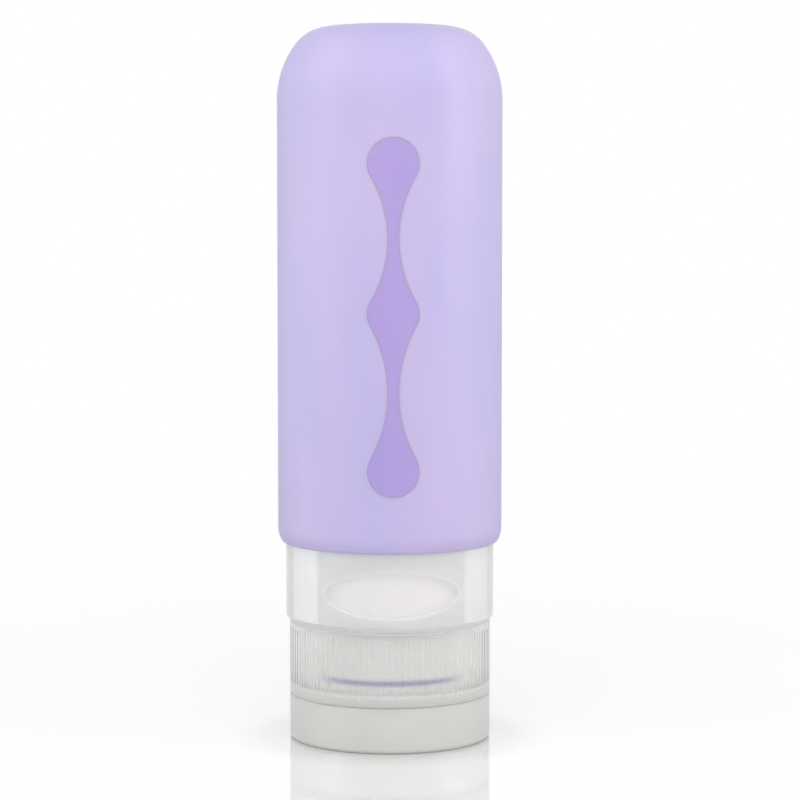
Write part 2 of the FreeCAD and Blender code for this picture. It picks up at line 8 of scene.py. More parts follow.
import bmesh
import bpy
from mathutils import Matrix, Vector

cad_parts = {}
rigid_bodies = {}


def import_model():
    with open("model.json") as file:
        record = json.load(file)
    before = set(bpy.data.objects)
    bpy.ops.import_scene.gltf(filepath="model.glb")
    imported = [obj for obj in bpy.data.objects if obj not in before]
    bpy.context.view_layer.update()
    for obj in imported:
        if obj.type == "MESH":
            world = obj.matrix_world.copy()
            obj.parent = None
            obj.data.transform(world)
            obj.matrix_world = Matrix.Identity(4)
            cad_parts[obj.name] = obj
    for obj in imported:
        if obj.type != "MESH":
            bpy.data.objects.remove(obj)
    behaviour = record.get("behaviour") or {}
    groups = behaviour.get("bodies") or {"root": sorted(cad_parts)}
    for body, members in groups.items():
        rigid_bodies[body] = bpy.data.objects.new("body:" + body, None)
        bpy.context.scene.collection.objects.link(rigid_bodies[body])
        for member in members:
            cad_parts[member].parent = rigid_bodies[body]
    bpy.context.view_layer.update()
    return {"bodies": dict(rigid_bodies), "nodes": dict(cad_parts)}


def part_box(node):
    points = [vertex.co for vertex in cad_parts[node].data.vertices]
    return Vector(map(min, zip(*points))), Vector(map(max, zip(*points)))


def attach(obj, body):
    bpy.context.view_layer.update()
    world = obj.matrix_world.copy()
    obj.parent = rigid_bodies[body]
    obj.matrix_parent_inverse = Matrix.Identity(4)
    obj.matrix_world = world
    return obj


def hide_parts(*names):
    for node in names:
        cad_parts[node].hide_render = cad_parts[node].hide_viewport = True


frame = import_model()

MM = 0.001

# Squeeze body
body_low, body_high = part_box("silicone_body")
BODY_RADIUS = body_high.x
BODY_BOTTOM = body_low.z
BODY_TOP = body_high.z
BODY_WALL = 2.8 * MM
LIP_TOP = BODY_BOTTOM + 2.0 * MM
MOUTH_RADIUS = 13.0 * MM
HEM_HEIGHT = 3.0 * MM
HEM_FLANK_RADIUS = 5.0 * MM
HEM_RADIUS = 1.0 * MM
FLANK_RADIUS = 18.0 * MM
SHOULDER_RADIUS = 8.0 * MM
SHOULDER_DROP = 3.5 * MM
CROWN_RADIUS = 200.0 * MM
HALF_COLUMNS = 72
SIDE_LEVELS = 6
SEAT_COLUMNS = 8
SETTLE_ROUNDS = 40
FLANK_STEPS = 14
SHOULDER_STEPS = 16
CROWN_STEPS = 10
HEM_EDGE_STEPS = 8
HEM_FLANK_STEPS = 10

# Drop inlay
drop_low, drop_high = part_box("drop_grip")
DROP_RADIUS = drop_high.x
DROP_WAIST = 2.2 * MM
DROP_LOW_STEP = 29.7 * MM
SEAT_DEPTH = 0.8 * MM
SEAT_EDGE = 0.012 * MM
INLAY_EDGE = 0.01 * MM
INLAY_SEAM = 0.004 * MM
INLAY_CROWN = 0.03 * MM
DROP_STEPS = 26
DROP_MIDDLE_STEPS = 16
FACE_COLUMNS = 14

# Seal and valve
gasket_low, gasket_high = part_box("gasket")
GASKET_BORE = 9.4 * MM
GASKET_EDGE = 0.22 * MM
GASKET_EDGE_STEPS = 5
GASKET_COLUMNS = 96
valve_low, valve_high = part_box("drip_valve")
VALVE_CUP = 2.45 * MM
VALVE_CUP_WALL = 0.6 * MM
VALVE_FLOOR = 0.5 * MM
VALVE_FLANGE = 0.9 * MM
VALVE_RIM = 0.15 * MM
VALVE_FOOT = 2 * VALVE_RIM
VALVE_FOOT_STEPS = 5
VALVE_RIM_STEPS = 4
VALVE_COLUMNS = 64
SLIT_LENGTH = 2.8 * MM
SLIT_WIDTH = 0.12 * MM
SLIT_CUT = 3 * VALVE_FLOOR

# Closing of meshes
MERGE_DISTANCE = 0.002 * MM
SLIVER_DISTANCE = 0.001 * MM
ROUNDING_STEPS = 5

# Frosted cap: a hazy skin over a clearer wall, through which the sleeve shows the seal, painted on the sleeve
# as a band of violet in shade
CAP_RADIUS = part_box("cap_base")[1].x
SKIN_START = CAP_RADIUS - 0.55 * MM
WALL_START = CAP_RADIUS - 2.2 * MM
SLEEVE_RADIUS = 15.8 * MM
WALL_LOW = gasket_low.z - 0.9 * MM
WALL_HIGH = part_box("cap_base")[1].z - 0.5 * MM
WALL_BLUR = 0.7 * MM
SKIN_ALPHA = 0.42
SKIN_SLANT = (0.45, 0.65)
WALL_ALPHA = 0.08
WALL_SLANT = (0.12, 0.5)
LIGHT_SHARE = 0.2
PAINTED_SEAL_BLUR = 0.42 * MM
LAYER_EDGE = 0.2 * MM


def arc(centre, radius, start, end, count):
    """Points along an arc, from the start angle to the end angle."""
    points = []
    for index in range(count + 1):
        angle = start + (end - start) * index / count
        points.append((centre[0] + radius * math.cos(angle), centre[1] + radius * math.sin(angle)))
    return points


def crown_arcs():
    """Centres and turning points of the flank, shoulder and crown arcs, which meet smoothly."""
    crown_centre = (0.0, BODY_TOP - CROWN_RADIUS)
    link = FLANK_RADIUS - SHOULDER_RADIUS
    level = BODY_TOP - SHOULDER_DROP
    turn = math.asin(1 - SHOULDER_DROP / SHOULDER_RADIUS)
    for _ in range(SETTLE_ROUNDS):
        reach = BODY_RADIUS - FLANK_RADIUS + link * math.cos(turn)
        rise = crown_centre[1] + math.sqrt((CROWN_RADIUS - SHOULDER_RADIUS) ** 2 - reach ** 2)
        turn = math.asin((level - rise) / SHOULDER_RADIUS)
    shoulder_centre = (reach, rise)
    flank_centre = (reach - link * math.cos(turn), rise - link * math.sin(turn))
    crown_turn = math.atan2(rise - crown_centre[1], reach)
    return flank_centre, shoulder_centre, crown_centre, turn, crown_turn


def dome(inset):
    """Section of the domed end from its flank to the axis, a wall's inset inside the outer face."""
    flank, shoulder, crown, turn, crown_turn = crown_arcs()
    points = arc(flank, FLANK_RADIUS - inset, 0, turn, FLANK_STEPS)
    points += arc(shoulder, SHOULDER_RADIUS - inset, turn, crown_turn, SHOULDER_STEPS)[1:]
    points += arc(crown, CROWN_RADIUS - inset, crown_turn, math.pi / 2, CROWN_STEPS)[1:]
    return points


def hem():
    """Section of the hem from the underside to the straight side."""
    turn = math.asin((HEM_HEIGHT - HEM_RADIUS) / (HEM_FLANK_RADIUS - HEM_RADIUS))
    flank = (BODY_RADIUS - HEM_FLANK_RADIUS, BODY_BOTTOM + HEM_HEIGHT)
    link = HEM_FLANK_RADIUS - HEM_RADIUS
    edge = (flank[0] + link * math.cos(turn), flank[1] - link * math.sin(turn))
    points = arc(edge, HEM_RADIUS, -math.pi / 2, -turn, HEM_EDGE_STEPS)
    return points + arc(flank, HEM_FLANK_RADIUS, -turn, 0, HEM_FLANK_STEPS)[1:]


def drop_outline():
    """Right half of the linked drops, from the lowest point up, as places and outward directions."""
    half_turn = math.pi
    low = drop_low.z + DROP_RADIUS
    high = drop_high.z - DROP_RADIUS
    levels = (low, low + DROP_LOW_STEP, high)
    waist = DROP_WAIST / 2
    turns = []
    hollows = []
    for below, above in zip(levels, levels[1:]):
        step = above - below
        hollow = (step ** 2 / 4 + waist ** 2 - DROP_RADIUS ** 2) / (2 * (DROP_RADIUS - waist))
        hollows.append(((waist + hollow, (below + above) / 2), hollow))
        turns.append(math.atan2(step / 2, waist + hollow))
    stretches = [
        ((0.0, levels[0]), DROP_RADIUS, -half_turn / 2, turns[0], DROP_STEPS, 1),
        (*hollows[0], half_turn + turns[0], half_turn - turns[0], DROP_STEPS, -1),
        ((0.0, levels[1]), DROP_RADIUS, -turns[0], turns[1], DROP_MIDDLE_STEPS, 1),
        (*hollows[1], half_turn + turns[1], half_turn - turns[1], DROP_STEPS, -1),
        ((0.0, levels[2]), DROP_RADIUS, -turns[1], half_turn / 2, DROP_STEPS, 1),
    ]
    outline = []
    for centre, radius, start, end, count, side in stretches:
        skip = 1 if outline else 0
        for x, z in arc(centre, radius, start, end, count)[skip:]:
            outward = (side * (x - centre[0]) / radius, side * (z - centre[1]) / radius)
            outline.append(((x, z), outward))
    return outline


def beside(place, outward, distance):
    """A point of the outline moved along its outward direction."""
    return place[0] + outward[0] * distance, place[1] + outward[1] * distance


def on_front(x, z, depth):
    """The point of the body's front at a width and level, sunk by a depth."""
    return Vector((x, -math.sqrt((BODY_RADIUS - depth) ** 2 - x ** 2), z))


class Skin:
    """A mesh in the making, filled by strips of points."""

    def __init__(self):
        self.mesh = bmesh.new()

    def strip(self, rows):
        """Faces between following rows of equally many points."""
        grid = [[self.mesh.verts.new(place) for place in row] for row in rows]
        for lower, upper in zip(grid, grid[1:]):
            for index in range(len(lower) - 1):
                self.mesh.faces.new((lower[index], lower[index + 1], upper[index + 1], upper[index]))

    def lathe(self, section, columns):
        """A turned surface of a section of radius and level."""
        turns = [2 * math.pi * index / columns for index in range(columns + 1)]
        self.strip([[(r * math.sin(a), -r * math.cos(a), z) for a in turns] for r, z in section])

    def piece(self, name, body, slot, *nodes):
        """Close the mesh into a smooth piece that rides on a body and stands for its nodes."""
        bmesh.ops.remove_doubles(self.mesh, verts=self.mesh.verts, dist=MERGE_DISTANCE)
        bmesh.ops.dissolve_degenerate(self.mesh, edges=self.mesh.edges, dist=SLIVER_DISTANCE)
        bmesh.ops.recalc_face_normals(self.mesh, faces=self.mesh.faces)
        data = bpy.data.meshes.new(name)
        self.mesh.to_mesh(data)
        self.mesh.free()
        data.polygons.foreach_set("use_smooth", [True] * len(data.polygons))
        piece = bpy.data.objects.new(name, data)
        bpy.context.scene.collection.objects.link(piece)
        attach(piece, body)
        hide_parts(*nodes)
        return piece


def rounding(radius):
    """Steps over a rounded edge, as the way in from the edge and the way down from the top."""
    steps = []
    for index in range(ROUNDING_STEPS + 1):
        angle = math.pi / 2 * index / ROUNDING_STEPS
        steps.append((radius * (1 - math.sin(angle)), radius * (1 - math.cos(angle))))
    return steps


def make_body(outline):
    """Hollow squeeze body with the rounded seat of the inlay in its front."""
    skin = Skin()
    domed = dome(0)
    plain_rows = [(MOUTH_RADIUS, BODY_BOTTOM)] + hem()
    side_start = plain_rows[-1][1]
    lowest = beside(*outline[0], SEAT_EDGE)[1]
    highest = beside(*outline[-1], SEAT_EDGE)[1]
    rows = [(r, z, 0.0) for r, z in plain_rows]
    for index in range(1, SIDE_LEVELS):
        rows.append((BODY_RADIUS, side_start + (lowest - side_start) * index / SIDE_LEVELS, 0.0))
    for place, outward in outline:
        x, z = beside(place, outward, SEAT_EDGE)
        rows.append((BODY_RADIUS, z, math.asin(max(x, 0.0) / BODY_RADIUS)))
    for index in range(1, SIDE_LEVELS):
        rows.append((BODY_RADIUS, highest + (domed[0][1] - highest) * index / SIDE_LEVELS, 0.0))
    rows += [(r, z, 0.0) for r, z in domed]
    for side in (-1, 1):
        grid = []
        for r, z, start in rows:
            angles = [start + (math.pi - start) * index / HALF_COLUMNS for index in range(HALF_COLUMNS + 1)]
            grid.append([(side * r * math.sin(a), -r * math.cos(a), z) for a in angles])
        skin.strip(grid)

    edge = rounding(SEAT_EDGE) + [(0.0, SEAT_DEPTH * 0.5), (0.0, SEAT_DEPTH)]
    for side in (-1, 1):
        rings = []
        for place, outward in outline:
            ring = []
            for away, depth in edge:
                x, z = beside(place, outward, away)
                ring.append(on_front(side * x, z, depth))
            rings.append(ring)
        skin.strip(rings)
    seat = []
    for (x, z), _ in outline:
        places = [x * (2 * index / SEAT_COLUMNS - 1) for index in range(SEAT_COLUMNS + 1)]
        seat.append([on_front(place, z, SEAT_DEPTH) for place in places])
    skin.strip(seat)

    inner_radius = BODY_RADIUS - BODY_WALL
    inside = [(MOUTH_RADIUS, BODY_BOTTOM), (MOUTH_RADIUS, LIP_TOP), (inner_radius, LIP_TOP)]
    inside += dome(BODY_WALL)
    skin.lathe(inside, 2 * HALF_COLUMNS)
    return skin.piece("squeeze_body", "bottle", "silicone_lavender", "silicone_body")


def make_inlay(outline):
    """Soft inlay in its seat, with rounded edges and a slightly crowned face."""
    skin = Skin()
    edge = [(SEAT_DEPTH - INLAY_SEAM, INLAY_SEAM)]
    for away, down in reversed(rounding(INLAY_EDGE)):
        edge.append((down, INLAY_SEAM + away))
    grid = []
    for place, outward in outline:
        left = []
        for depth, inset in edge:
            x, z = beside(place, outward, -inset)
            left.append(on_front(-max(x, 0.0), z, depth))
        x, z = beside(place, outward, -edge[-1][1])
        width = max(x, 0.0)
        swell = INLAY_CROWN * min(1.0, width / DROP_RADIUS)
        face = []
        for index in range(1, FACE_COLUMNS):
            share = 2 * index / FACE_COLUMNS - 1
            face.append(on_front(width * share, z, -swell * (1 - share ** 2)))
        right = [Vector((-point.x, point.y, point.z)) for point in reversed(left)]
        under = on_front(0.0, left[0].z, SEAT_DEPTH - INLAY_SEAM)
        grid.append([under] + left + face + right + [under])
    skin.strip(grid)
    return skin.piece("drop_inlay", "bottle", "silicone_violet", "drop_grip")


def make_gasket():
    """Sealing ring with rounded edges."""
    skin = Skin()
    bore = GASKET_BORE
    outside = gasket_high.x
    low, high = gasket_low.z, gasket_high.z
    quarter = math.pi / 2
    inset = GASKET_EDGE
    corners = [
        ((outside - inset, low + inset), -quarter),
        ((outside - inset, high - inset), 0.0),
        ((bore + inset, high - inset), quarter),
        ((bore + inset, low + inset), 2 * quarter),
    ]
    section = []
    for centre, start in corners:
        section += arc(centre, inset, start, start + quarter, GASKET_EDGE_STEPS)
    section.append(section[0])
    skin.lathe(section, GASKET_COLUMNS)
    return skin.piece("sealing_ring", "seal", "silicone_violet", "gasket")


def make_valve():
    """Drip valve: flange and cup in one skin, with the crossed slit cut through the cup's floor."""
    skin = Skin()
    bottom = valve_low.z
    top = valve_high.z
    seat = top - VALVE_FLANGE
    rim = VALVE_RIM
    foot = VALVE_FOOT
    steps = VALVE_RIM_STEPS
    bore = VALVE_CUP - VALVE_CUP_WALL
    quarter = math.pi / 2
    section = [(0.0, bottom)]
    section += arc((VALVE_CUP - foot, bottom + foot), foot, -quarter, 0, VALVE_FOOT_STEPS)
    section += [(VALVE_CUP, seat)]
    section += arc((valve_high.x - rim, seat + rim), rim, -quarter, 0, steps)
    section += arc((valve_high.x - rim, top - rim), rim, 0, quarter, steps)
    section += arc((bore + rim, top - rim), rim, quarter, 2 * quarter, steps)
    section += [(bore, bottom + VALVE_FLOOR), (0.0, bottom + VALVE_FLOOR)]
    skin.lathe(section, VALVE_COLUMNS)
    valve = skin.piece("slit_valve", "cap", "clear_silicone", "drip_valve")

    for name, length, width in (("slit", SLIT_LENGTH, SLIT_WIDTH), ("cross_slit", SLIT_WIDTH, SLIT_LENGTH)):
        cutter_mesh = bmesh.new()
        bmesh.ops.create_cube(cutter_mesh, size=1.0)
        for vertex in cutter_mesh.verts:
            corner = vertex.co
            vertex.co = Vector((corner.x * length, corner.y * width, bottom + corner.z * SLIT_CUT))
        cutter_data = bpy.data.meshes.new(name)
        cutter_mesh.to_mesh(cutter_data)
        cutter_mesh.free()
        cutter = bpy.data.objects.new(name, cutter_data)
        bpy.context.scene.collection.objects.link(cutter)
        cut = valve.modifiers.new(name, "BOOLEAN")
        cut.object = cutter
        cut.operation = "DIFFERENCE"
        cut.solver = "EXACT"
        graph = bpy.context.evaluated_depsgraph_get()
        opened = bpy.data.meshes.new_from_object(valve.evaluated_get(graph))
        valve.modifiers.clear()
        valve.data = opened
        bpy.data.objects.remove(cutter)
    return valve


def srgb(red, green, blue):
    """Linear colour of a screen colour of 0 to 255."""
    channels = []
    for value in (red / 255, green / 255, blue / 255):
        channels.append(value / 12.92 if value <= 0.04045 else ((value + 0.055) / 1.055) ** 2.4)
    return (*channels, 1.0)


# Colours painted inside the cap: the seal in shade, painted on the sleeve, and a grey painted shade for the
# closed band
PAINTED_SEAL_SHADE = srgb(62, 28, 175)
# Grey of the painted shade on the cap's closed band, and how much of it is used
CLOSED_BAND_SHADE = srgb(210, 210, 208)
CLOSED_BAND_SHADE_SHARE = 0.8

# Grain of the finishes: sizes of their noise, heights of their bumps and the part of the noise in use
NOISE_RANGE = (0.3, 0.7)
SILICONE_CLOUD = 16 * MM
SILICONE_WEAR = 5 * MM
SILICONE_GRAIN = 0.22 * MM
SILICONE_GRAIN_HEIGHT = 0.006 * MM
SILICONE_ROUGHNESS = (0.4, 0.48)
FROST_FLOW = 9 * MM
FROST_WEAR = 2.5 * MM
FROST_GRAIN = 0.15 * MM
FROST_GRAIN_HEIGHT = 0.004 * MM
FROST_SPREAD = 0.05


class Finish:
    """A procedural material around one principled shader."""

    def __init__(self, name):
        self.material = bpy.data.materials.new(name)
        self.material.use_nodes = True
        self.tree = self.material.node_tree
        self.tree.nodes.clear()
        self.shader = self.node("ShaderNodeBsdfPrincipled")
        output = self.node("ShaderNodeOutputMaterial")
        self.link(self.shader.outputs["BSDF"], output.inputs["Surface"])
        self.coordinates = self.node("ShaderNodeTexCoord").outputs["Object"]

    def node(self, kind, **settings):
        node = self.tree.nodes.new(kind)
        for name, value in settings.items():
            setattr(node, name, value)
        return node

    def link(self, source, target):
        self.tree.links.new(source, target)

    def set(self, **values):
        for name, value in values.items():
            self.shader.inputs[name.replace("_", " ")].default_value = value

    def noise(self, size, stretch=(1, 1, 1), detail=3.0):
        """Noise with features of about a size in metres, stretched along the axes."""
        mapping = self.node("ShaderNodeMapping")
        mapping.inputs["Scale"].default_value = [1 / (size * factor) for factor in stretch]
        self.link(self.coordinates, mapping.inputs["Vector"])
        noise = self.node("ShaderNodeTexNoise")
        noise.inputs["Scale"].default_value = 1.0
        noise.inputs["Detail"].default_value = detail
        noise.inputs["Roughness"].default_value = 0.5
        self.link(mapping.outputs["Vector"], noise.inputs["Vector"])
        return noise.outputs["Fac"]

    def colour(self, share, low, high):
        """Base colour that runs from one colour to another over the share's middle range."""
        ramp = self.node("ShaderNodeValToRGB")
        for stop, position, colour in zip(ramp.color_ramp.elements, NOISE_RANGE, (low, high)):
            stop.position = position
            stop.color = colour
        self.link(share, ramp.inputs["Fac"])
        self.link(ramp.outputs["Color"], self.shader.inputs["Base Color"])

    def roughness(self, share, low, high):
        span = self.between(share, *NOISE_RANGE, low, high, kind="LINEAR")
        self.link(span, self.shader.inputs["Roughness"])

    def between(self, value, low, high, before, after, kind="SMOOTHSTEP"):
        """A value's change between two levels, smooth or straight."""
        span = self.node("ShaderNodeMapRange", interpolation_type=kind)
        span.inputs["From Min"].default_value = low
        span.inputs["From Max"].default_value = high
        span.inputs["To Min"].default_value = before
        span.inputs["To Max"].default_value = after
        self.link(value, span.inputs["Value"])
        return span.outputs["Result"]

    def combine(self, operation, first, second):
        node = self.node("ShaderNodeMath", operation=operation)
        self.link(first, node.inputs[0])
        self.link(second, node.inputs[1])
        return node.outputs["Value"]

    def larger(self, first, second):
        return self.combine("MAXIMUM", first, second)

    def product(self, first, second):
        return self.combine("MULTIPLY", first, second)

    def blend(self, share, first, second):
        """A value that runs from one value to another by a share."""
        span = self.node("ShaderNodeMapRange")
        self.link(first, span.inputs["To Min"])
        self.link(second, span.inputs["To Max"])
        self.link(share, span.inputs["Value"])
        return span.outputs["Result"]

    def tint(self, share, colour):
        """Change the base colour to another one by a share."""
        base = self.shader.inputs["Base Color"]
        mix = self.node("ShaderNodeMix", data_type="RGBA")
        self.link(share, mix.inputs["Factor"])
        self.link(base.links[0].from_socket, mix.inputs["A"])
        mix.inputs["B"].default_value = colour
        self.link(mix.outputs["Result"], base)

    def polar(self):
        """Distance from the bottle's axis, and level."""
        parts = self.node("ShaderNodeSeparateXYZ")
        self.link(self.coordinates, parts.inputs["Vector"])
        flat = self.node("ShaderNodeCombineXYZ")
        self.link(parts.outputs["X"], flat.inputs["X"])
        self.link(parts.outputs["Y"], flat.inputs["Y"])
        length = self.node("ShaderNodeVectorMath", operation="LENGTH")
        self.link(flat.outputs["Vector"], length.inputs[0])
        return length.outputs["Value"], parts.outputs["Z"]

    def bump(self, share, height, strength):
        bump = self.node("ShaderNodeBump")
        bump.inputs["Strength"].default_value = strength
        bump.inputs["Distance"].default_value = height
        self.link(share, bump.inputs["Height"])
        self.link(bump.outputs["Normal"], self.shader.inputs["Normal"])

    def cover(self, *objects):
        for thing in objects:
            thing.data.materials.clear()
            thing.data.materials.append(self.material)


def silicone(name, low, high, depth):
    """Satin moulded silicone: a fine matt grain, cloudy tone and light that soaks in."""
    finish = Finish(name)
    finish.colour(finish.noise(SILICONE_CLOUD, stretch=(1, 1, 3.5), detail=2.0), low, high)
    finish.roughness(finish.noise(SILICONE_WEAR), *SILICONE_ROUGHNESS)
    finish.bump(finish.noise(SILICONE_GRAIN, detail=2.0), SILICONE_GRAIN_HEIGHT, strength=0.6)
    finish.set(Subsurface_Weight=0.35, Subsurface_Scale=depth, Subsurface_Radius=(1.0, 0.85, 1.1))
    finish.set(Specular_IOR_Level=0.35, IOR=1.41)
    return finish


def frosted(name, low, high, roughness, depth):
    """Frosted natural plastic: milky, with light that soaks in and faint flow marks from the mould."""
    finish = Finish(name)
    finish.colour(finish.noise(FROST_FLOW, stretch=(1, 1, 0.4)), low, high)
    finish.roughness(finish.noise(FROST_WEAR), roughness - FROST_SPREAD, roughness + FROST_SPREAD)
    finish.bump(finish.noise(FROST_GRAIN, detail=2.0), FROST_GRAIN_HEIGHT, strength=0.5)
    finish.set(Subsurface_Weight=0.9, Subsurface_Scale=depth, Subsurface_Radius=(1.0, 1.0, 1.0))
    finish.set(Specular_IOR_Level=0.5, IOR=1.49, Sheen_Weight=1.0, Sheen_Roughness=0.5)
    return finish


def let_light_in(finish, alpha=None, closed=None):
    """Let most light through to what lies inside, as thin milky plastic does, but for a closed part."""
    rays = finish.node("ShaderNodeLightPath")
    light = finish.larger(rays.outputs["Is Shadow Ray"], rays.outputs["Is Diffuse Ray"])
    through = finish.between(light, 0.0, 1.0, 1.0, LIGHT_SHARE)
    if alpha is not None:
        through = finish.product(through, alpha)
    if closed is not None:
        through = finish.larger(through, closed)
    finish.link(through, finish.shader.inputs["Alpha"])


def haze_and_painted_seal(finish):
    """Haze on the cap's skin, a clearer wall behind it, grey painted shade on the closed band below that
    wall, and the seal in shade painted in violet on the sleeve inside.
    """
    radius, level = finish.polar()
    edge = LAYER_EDGE
    slant = finish.node("ShaderNodeLayerWeight").outputs["Facing"]
    wall = finish.between(slant, *WALL_SLANT, WALL_ALPHA, 1.0)
    skin = finish.between(radius, SKIN_START - edge, SKIN_START, 0.0, 1.0)
    wall = finish.larger(wall, finish.between(radius, WALL_START - edge, WALL_START, 1.0, 0.0))
    wall = finish.larger(wall, finish.between(level, WALL_HIGH - edge, WALL_HIGH, 0.0, 1.0))
    closed = finish.between(level, WALL_LOW - WALL_BLUR, WALL_LOW + WALL_BLUR, 1.0, 0.0)
    haze = finish.between(slant, *SKIN_SLANT, SKIN_ALPHA, 1.0)
    let_light_in(finish, finish.blend(skin, wall, haze), closed)
    # Painted shade: below the see-through wall the cap's colour is greyed, standing in for the deck plate
    # behind it seen in the dim inside
    finish.tint(finish.between(level, WALL_LOW - 2 * WALL_BLUR, WALL_LOW, CLOSED_BAND_SHADE_SHARE, 0.0), CLOSED_BAND_SHADE)

    # Painted shade: a darker violet band on the sleeve at the seal's level stands in for the seal seen in
    # shade through the walls
    inside = finish.between(radius, SLEEVE_RADIUS + edge, SLEEVE_RADIUS + 2 * edge, 1.0, 0.0)
    above = finish.between(level, gasket_low.z - PAINTED_SEAL_BLUR, gasket_low.z + PAINTED_SEAL_BLUR, 0.0, 1.0)
    below = finish.between(level, gasket_high.z - PAINTED_SEAL_BLUR, gasket_high.z + PAINTED_SEAL_BLUR, 1.0, 0.0)
    finish.tint(finish.product(inside, finish.product(above, below)), PAINTED_SEAL_SHADE)


def make_finishes(pieces):
    """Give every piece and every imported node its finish."""
    nodes = frame["nodes"]
    lavender = silicone("lavender_silicone", srgb(198, 191, 238), srgb(208, 195, 237), 2.2 * MM)
    lavender.cover(pieces["body"])
    violet = silicone("violet_silicone", srgb(180, 163, 227), srgb(188, 167, 227), 1.2 * MM)
    violet.cover(pieces["inlay"])
    seal = silicone("seal_silicone", srgb(96, 80, 168), srgb(104, 86, 172), 0.4 * MM)
    seal.cover(pieces["gasket"])
    clear = silicone("clear_silicone", srgb(222, 222, 230), srgb(232, 232, 236), 0.5 * MM)
    clear.set(Transmission_Weight=0.4)
    clear.cover(pieces["valve"])

    cap = frosted("frosted_plastic", srgb(231, 231, 229), srgb(237, 236, 235), 0.4, 2.0 * MM)
    haze_and_painted_seal(cap)
    cap.cover(nodes["cap_base"])
    # The lid is the cap's plastic, painted a few levels darker as shade against the extra light its lower
    # part takes from the floor
    lid = frosted("frosted_lid_painted_darker", srgb(223, 223, 220), srgb(229, 228, 226), 0.4, 2.0 * MM)
    lid.cover(nodes["flip_lid"])
    collar = frosted("gloss_frosted_plastic", srgb(216, 218, 219), srgb(222, 223, 224), 0.4, 2.0 * MM)
    let_light_in(collar)
    collar.set(Coat_Weight=1.0, Coat_Roughness=0.08, Coat_IOR=1.5, Sheen_Weight=0.4)
    collar.cover(nodes["collar"])
    natural = frosted("natural_plastic", srgb(226, 227, 223), srgb(234, 234, 231), 0.42, 1.0 * MM)
    natural.cover(nodes["neck"], nodes["retaining_ring"], nodes["valve_retainer"])
    white = frosted("white_plastic", srgb(241, 239, 238), srgb(245, 243, 242), 0.5, 0.5 * MM)
    white.cover(nodes["label_ring"])


# Stage
WHITE = (1.0, 1.0, 1.0, 1.0)
BLACK = (0.0, 0.0, 0.0, 1.0)
FLOOR_RADIUS = 0.9
FLOOR_SEGMENTS = 96
FLOOR_CLOUD = 0.08
FLOOR_WEAR = 0.05
FLOOR_LOW = (0.93, 0.93, 0.93, 1.0)
FLOOR_HIGH = (0.95, 0.95, 0.95, 1.0)
FLOOR_ROUGHNESS = (0.08, 0.1)
FLOOR_FADE = (0.22, 0.5)
FLOOR_LIFT = 0.162
# Reach, least brightness and samples of the painted contact shadow
CONTACT_REACH = 13.0 * MM
CONTACT_LEAST = 0.75
CONTACT_SAMPLES = 4


def make_floor():
    """Pale glossy floor, with a painted contact shadow where the bottle touches it, that fades into the white
    around it.
    """
    mesh = bmesh.new()
    bmesh.ops.create_circle(mesh, cap_ends=True, radius=FLOOR_RADIUS, segments=FLOOR_SEGMENTS)
    data = bpy.data.meshes.new("floor")
    mesh.to_mesh(data)
    mesh.free()
    floor = bpy.data.objects.new("floor", data)
    bpy.context.scene.collection.objects.link(floor)

    finish = Finish("pale_floor")
    finish.colour(finish.noise(FLOOR_CLOUD), FLOOR_LOW, FLOOR_HIGH)
    finish.roughness(finish.noise(FLOOR_WEAR), *FLOOR_ROUGHNESS)
    finish.set(IOR=1.5, Coat_Weight=1.0, Coat_IOR=1.6, Coat_Roughness=0.08)
    # Painted contact shadow: ambient occlusion near the bottle darkens the floor's colour and its lift, down
    # to CONTACT_LEAST of each
    contact = finish.node("ShaderNodeAmbientOcclusion", samples=CONTACT_SAMPLES)
    contact.inputs["Distance"].default_value = CONTACT_REACH
    open_share = contact.outputs["AO"]
    shade = finish.between(open_share, CONTACT_LEAST, 1.0, 1.0 - CONTACT_LEAST, 0.0, kind="LINEAR")
    finish.tint(shade, BLACK)
    distance = finish.node("ShaderNodeVectorMath", operation="LENGTH")
    finish.link(finish.coordinates, distance.inputs[0])
    fade = finish.between(distance.outputs["Value"], *FLOOR_FADE, 1.0, 0.0)
    finish.link(fade, finish.shader.inputs["Alpha"])
    rays = finish.node("ShaderNodeLightPath")
    lift_range = (CONTACT_LEAST * FLOOR_LIFT, FLOOR_LIFT)
    lift = finish.between(open_share, CONTACT_LEAST, 1.0, *lift_range, kind="LINEAR")
    seen = finish.product(rays.outputs["Is Camera Ray"], lift)
    finish.link(seen, finish.shader.inputs["Emission Strength"])
    finish.set(Emission_Color=WHITE)
    finish.cover(floor)
    return floor


def give_way(floor):
    """Let the floor sink where a joint takes the lid below it, so that the lid is never cut."""
    lid_low, lid_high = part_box("flip_lid")
    places = {"lid_base": (0, 0, lid_low.z), "lid_tip": (0, lid_low.y, lid_high.z)}
    for name, place in places.items():
        mark = bpy.data.objects.new(name, None)
        bpy.context.scene.collection.objects.link(mark)
        mark.parent = frame["bodies"]["lid"]
        mark.location = place
        limit = floor.constraints.new("FLOOR")
        limit.target = mark
        limit.floor_location = "FLOOR_NEGATIVE_Z"


# Light around the object: strengths, and where it changes by its direction's backward and upward parts
AMBIENT_FRONT = 0.74
AMBIENT_BACK = 0.42
AMBIENT_TURN = (-0.3, 0.3)
GLOSS_BACK = 0.75
GLOSS_TURN = (0.68, 0.74)
GLOSS_LEVEL = (0.04, 0.0)


